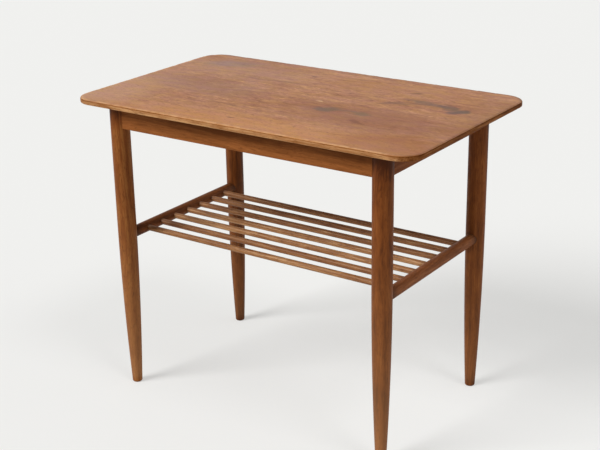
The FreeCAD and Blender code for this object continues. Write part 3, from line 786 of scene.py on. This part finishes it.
def turned_legs():
    """A pair of legs in front and a pair behind. Front feet are kicked the most, and each leg is turned from
    its own piece of wood."""
    sizes = {
        "Height": LEG_TOP, "Leg Radius": LEG_RADIUS, "Curve Radius": LEG_CURVE_RADIUS,
        "Knee Height": KNEE_HEIGHT, "Foot Round": FOOT_ROUND, "Rings": 140, "Sides": 64,
        "Grime Height": 16 * MM, "Count": 2, "Pitch": 2 * LEG_X, "Seed": 1,
    }
    pairs = {
        "front": {
            "Row Middle": (0.0, -LEG_Y, 0.0), "Scuff": 0.42,
            "Tone Low": 0.28, "Tone High": 0.28, "Tone Step": -0.4,
        },
        # The back legs are toned darker than the front ones, partly as painted shade under the top
        "back": {
            "Row Middle": (0.0, LEG_Y, 0.0), "Scuff": 0.2,
            "Tone Low": -0.34, "Tone High": -0.34, "Tone Step": 0.26,
        },
    }
    tree = leg_tree({**sizes, **pairs["front"]})
    for end, looks in pairs.items():
        mesh = shaped(tree, {**sizes, **looks}, LEG_TEAK)
        nodes = [f"leg_{end}_left", f"leg_{end}_right"]
        finished(f"{end}_legs", mesh, LEG_TEAK, nodes, SHARP_ON_TURNED)


def rods(name, direction, sizes, material, nodes):
    """A row of round rods along one axis, spaced evenly across it."""
    tree, given = new_shape_tree(name, sizes)
    half = add(tree, MATHS, {0: given["Length"], 1: 0.5}, operation="MULTIPLY").outputs[0]
    minus_half = add(tree, MATHS, {0: given["Length"], 1: -0.5}, operation="MULTIPLY").outputs[0]
    start = add(tree, "ShaderNodeCombineXYZ", {direction: minus_half})
    end = add(tree, "ShaderNodeCombineXYZ", {direction: half})
    axis = add(tree, "GeometryNodeCurvePrimitiveLine", {"Start": start.outputs[0], "End": end.outputs[0]})
    stations = add(tree, "GeometryNodeResampleCurve", {
        "Curve": axis.outputs[0], "Count": given["Stations"],
    })
    circle = add(tree, "GeometryNodeCurvePrimitiveCircle", {
        "Resolution": given["Sides"], "Radius": given["Radius"],
    })
    rod = add(tree, "GeometryNodeCurveToMesh", {
        "Curve": stations.outputs[0], "Profile Curve": circle.outputs[0], "Fill Caps": True,
    })
    # Grime and painted shade gather where a rod enters its socket: darker towards each end
    place = add(tree, "GeometryNodeInputPosition").outputs[0]
    along = add(tree, "ShaderNodeSeparateXYZ", {"Vector": place}).outputs[direction]
    from_middle = add(tree, MATHS, {0: along}, operation="ABSOLUTE").outputs[0]
    clean_half = add(tree, MATHS, {0: half, 1: given["Grime And Shade Length"]}, operation="SUBTRACT").outputs[0]
    grime_and_shade_mask = add(tree, "ShaderNodeMapRange", {"Value": from_middle, "From Min": clean_half, "From Max": half})
    across = "Y" if direction == "X" else "X"
    close_shape_tree(tree, given, rod.outputs[0], grime_and_shade_mask.outputs[0], across)
    finished(name, shaped(tree, sizes, material), material, nodes, SHARP_ON_TURNED)


def shelf():
    """Two round stretchers between the legs, and the slats that they carry."""
    row_middle = (0.0, 0.0, SHELF_HEIGHT)
    # Tone Step tones the left stretcher darker than the right one: painted shade where the slats meet it
    stretchers = {
        "Length": 2 * (LEG_Y - LEG_RADIUS + STRETCHER_IN_LEG), "Radius": STRETCHER_RADIUS,
        "Count": 2, "Pitch": 2 * LEG_X, "Row Middle": row_middle, "Stations": 60, "Sides": 40,
        "Grime And Shade Length": 24 * MM, "Tone Low": -0.09, "Tone High": -0.03, "Tone Step": 0.1, "Seed": 1,
    }
    stretcher_nodes = ["stretcher_left", "stretcher_right"]
    rods("stretchers", "Y", stretchers, STRETCHER_TEAK, stretcher_nodes)
    # Tone Step makes each slat a little darker than the one in front of it: painted shade under the top.
    # Beyond that each slat's tone differs at random
    slats = {
        "Length": SLAT_LENGTH, "Radius": SLAT_RADIUS,
        "Count": len(SLAT_NODES), "Pitch": SLAT_PITCH, "Row Middle": row_middle, "Stations": 90, "Sides": 28,
        "Grime And Shade Length": 16 * MM, "Tone Low": -0.05, "Tone High": 0.25, "Tone Step": -0.015, "Seed": 2963,
    }
    rods("shelf_slats", "X", slats, SLAT_TEAK, SLAT_NODES)


top_veneer()
lippings()
rails()
turned_legs()
shelf()

for node_name, node_material in (
    ("top_core", CORE_BOARD), ("backing_veneer", BACKING_TEAK),
    ("rail_dowels", DOWEL_BEECH), ("top_screws", SCREW_STEEL),
):
    node_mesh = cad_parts[node_name].data
    node_mesh.materials.clear()
    node_mesh.materials.append(node_material)


# Studio: pale floor, soft light from the front left, less from high on the right, and pale surroundings
BACKDROP = "#F0F0EE"
FLOOR_HALF = 9
FLOOR_DROP = 0.2 * MM
# Share of the backdrop's own brightness in the floor as it is seen, which sets how deep shadows look
FLOOR_GLOW = 0.52
ROOM_LIGHT = 0.27
# Name, direction that it comes from, spread in degrees and strength of each light
LIGHTS = (
    ("window_light", (-0.42, -0.72, 0.66), 28, 2.82),
    ("ceiling_light", (0.5, -0.12, 0.86), 18, 0.58),
    ("fill_light", (0.8, 0.45, 0.3), 60, 0.5),
)


def seen_rays(tree):
    """One where a camera, glossy or transmission ray sees a surface, and nought where light falls on it."""
    path = add(tree, "ShaderNodeLightPath").outputs
    seen = path["Is Camera Ray"]
    for ray in ("Is Glossy Ray", "Is Transmission Ray"):
        seen = add(tree, MATHS, {0: seen, 1: path[ray]}, operation="MAXIMUM").outputs[0]
    return seen


def studio_floor():
    """Wide pale floor that keeps the table's shadow. It is clear from below, to show the underside."""
    material, tree = new_material("matt_pale_floor")
    matt = add(tree, "ShaderNodeBsdfDiffuse", {"Color": linear("#EDEDEB")})
    glow = add(tree, "ShaderNodeEmission", {"Color": linear(BACKDROP), "Strength": 1})
    share = add(tree, MATHS, {0: seen_rays(tree), 1: FLOOR_GLOW}, operation="MULTIPLY")
    mixed = add(tree, "ShaderNodeMixShader", {0: share.outputs[0], 1: matt.outputs[0], 2: glow.outputs[0]})
    clear = add(tree, "ShaderNodeBsdfTransparent")
    below = add(tree, "ShaderNodeNewGeometry").outputs["Backfacing"]
    sided = add(tree, "ShaderNodeMixShader", {0: below, 1: mixed.outputs[0], 2: clear.outputs[0]})
    add(tree, "ShaderNodeOutputMaterial", {"Surface": sided.outputs[0]})
    mesh = bpy.data.meshes.new("floor")
    corners = ((-1, -1), (1, -1), (1, 1), (-1, 1))
    mesh.from_pydata([(x * FLOOR_HALF, y * FLOOR_HALF, -FLOOR_DROP) for x, y in corners], [], [(0, 1, 2, 3)])
    mesh.materials.append(material)
    floor = bpy.data.objects.new("floor", mesh)
    bpy.context.scene.collection.objects.link(floor)


def soft_daylight(name, towards, spread, strength):
    """Broad even light from one direction, as from a large window or softbox far off."""
    lamp = bpy.data.lights.new(name, "SUN")
    lamp.angle = math.radians(spread)
    lamp.energy = strength
    holder = bpy.data.objects.new(name, lamp)
    holder.rotation_euler = Vector(towards).to_track_quat("Z", "Y").to_euler()
    bpy.context.scene.collection.objects.link(holder)


def surroundings():
    """Pale room: full strength where it is seen, and a plain level of light on the table."""
    world = bpy.data.worlds.new("pale_room")
    bpy.context.scene.world = world
    world.use_nodes = True
    tree = world.node_tree
    tree.nodes.clear()
    shown = add(tree, "ShaderNodeBackground", {"Color": linear(BACKDROP), "Strength": 1})
    light = add(tree, "ShaderNodeBackground", {"Color": linear("#FFFFFF"), "Strength": ROOM_LIGHT})
    mixed = add(tree, "ShaderNodeMixShader", {0: seen_rays(tree), 1: light.outputs[0], 2: shown.outputs[0]})
    add(tree, "ShaderNodeOutputWorld", {"Surface": mixed.outputs[0]})


def photo_camera():
    """Camera where the photograph was taken from, for an image of 600 by 450."""
    focal, image_width, sensor = 1244.56, 600, 36
    yaw, pitch, roll = 0.605, 0.3599, 0.0165
    place = Vector((1164.58, -1683.63, 1080.04)) * MM
    right = Vector((math.cos(yaw), math.sin(yaw), 0))
    level = Vector((-math.sin(yaw), math.cos(yaw), 0))
    forward = level * math.cos(pitch) - Vector((0, 0, math.sin(pitch)))
    down = forward.cross(right)
    tilted_right = right * math.cos(roll) + down * math.sin(roll)
    tilted_down = down * math.cos(roll) - right * math.sin(roll)
    camera = bpy.data.cameras.new("photo_camera")
    camera.sensor_fit = "HORIZONTAL"
    camera.sensor_width = sensor
    camera.lens = focal * sensor / image_width
    holder = bpy.data.objects.new("photo_camera", camera)
    turn = Matrix((tilted_right, -tilted_down, -forward)).transposed().to_4x4()
    holder.matrix_world = Matrix.Translation(place) @ turn
    bpy.context.scene.collection.objects.link(holder)
    bpy.context.scene.camera = holder


studio_floor()
for light in LIGHTS:
    soft_daylight(*light)
surroundings()
photo_camera()
bpy.context.scene.view_settings.view_transform = "Standard"
